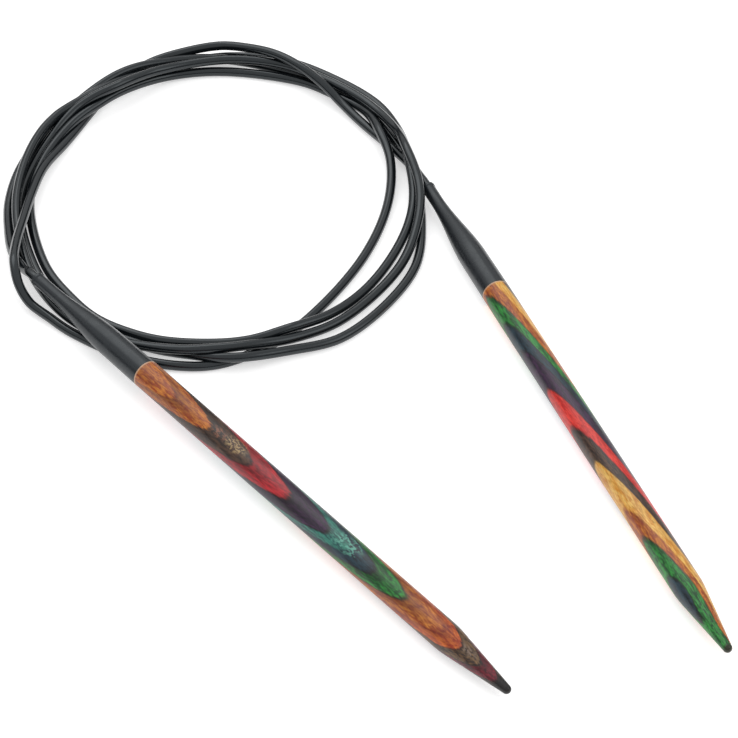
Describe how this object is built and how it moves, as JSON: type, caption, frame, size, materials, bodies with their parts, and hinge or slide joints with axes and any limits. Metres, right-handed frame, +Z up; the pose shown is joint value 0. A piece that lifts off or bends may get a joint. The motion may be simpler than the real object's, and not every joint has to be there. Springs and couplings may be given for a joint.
{
  "type": "circular knitting needle",
  "caption": "Circular knitting needle: tapered laminated wood tips in moulded sleeves, joined by a long thin cord that lies in a loose coil.",
  "frame": {"origin": "on the surface that the needle lies on, under the middle of the box around the two rigid needles", "axes": "+Z up from the surface; the needles point towards -Y, and the coil of cord lies towards +Y"},
  "size_m": [0.1331, 0.1817, 0.0074],
  "materials": {
    "wood_green": "dyed birch veneer, polished to a satin sheen",
    "wood_teal": "dyed birch veneer, polished to a satin sheen",
    "wood_purple": "dyed birch veneer, polished to a satin sheen",
    "wood_red": "dyed birch veneer, polished to a satin sheen",
    "wood_dark_brown": "dyed birch veneer, polished to a satin sheen",
    "wood_amber": "dyed birch veneer, polished to a satin sheen",
    "wood_orange_brown": "dyed birch veneer, polished to a satin sheen",
    "cord": "glossy black nylon",
    "sleeve": "satin black moulded plastic",
    "ferrule": "crimped brass"
  },
  "bodies": {
    "cord": {"cord_coil": "cord", "left_cord_lead": "cord", "right_cord_lead": "cord"},
    "left_needle": {"left_cord_end": "cord", "left_ferrule": "ferrule", "left_sleeve": "sleeve", "left_veneer_01": "wood_orange_brown", "left_veneer_02": "wood_orange_brown", "left_veneer_03": "wood_dark_brown", "left_veneer_04": "wood_red", "left_veneer_05": "wood_purple", "left_veneer_06": "wood_teal", "left_veneer_07": "wood_green", "left_veneer_08": "wood_orange_brown", "left_veneer_09": "wood_orange_brown", "left_veneer_10": "wood_dark_brown", "left_veneer_11": "wood_red", "left_veneer_12": "wood_purple"},
    "right_needle": {"right_cord_end": "cord", "right_ferrule": "ferrule", "right_sleeve": "sleeve", "right_veneer_01": "wood_red", "right_veneer_02": "wood_dark_brown", "right_veneer_03": "wood_amber", "right_veneer_04": "wood_orange_brown", "right_veneer_05": "wood_green", "right_veneer_06": "wood_teal", "right_veneer_07": "wood_purple", "right_veneer_08": "wood_red", "right_veneer_09": "wood_dark_brown", "right_veneer_10": "wood_amber", "right_veneer_11": "wood_orange_brown", "right_veneer_12": "wood_green", "right_veneer_13": "wood_teal"}
  },
  "joints": [
    {"name": "left_swing", "type": "hinge", "parent": "cord", "child": "left_needle", "pos_m": [-0.06384, 0.03927, 0.00524], "axis": [0, 0, 1], "range_deg": [-40, 5]},
    {"name": "right_swing", "type": "hinge", "parent": "cord", "child": "right_needle", "pos_m": [0.0116, 0.07065, 0.00275], "axis": [0, 0, 1], "range_deg": [-5, 40]}
  ]
}
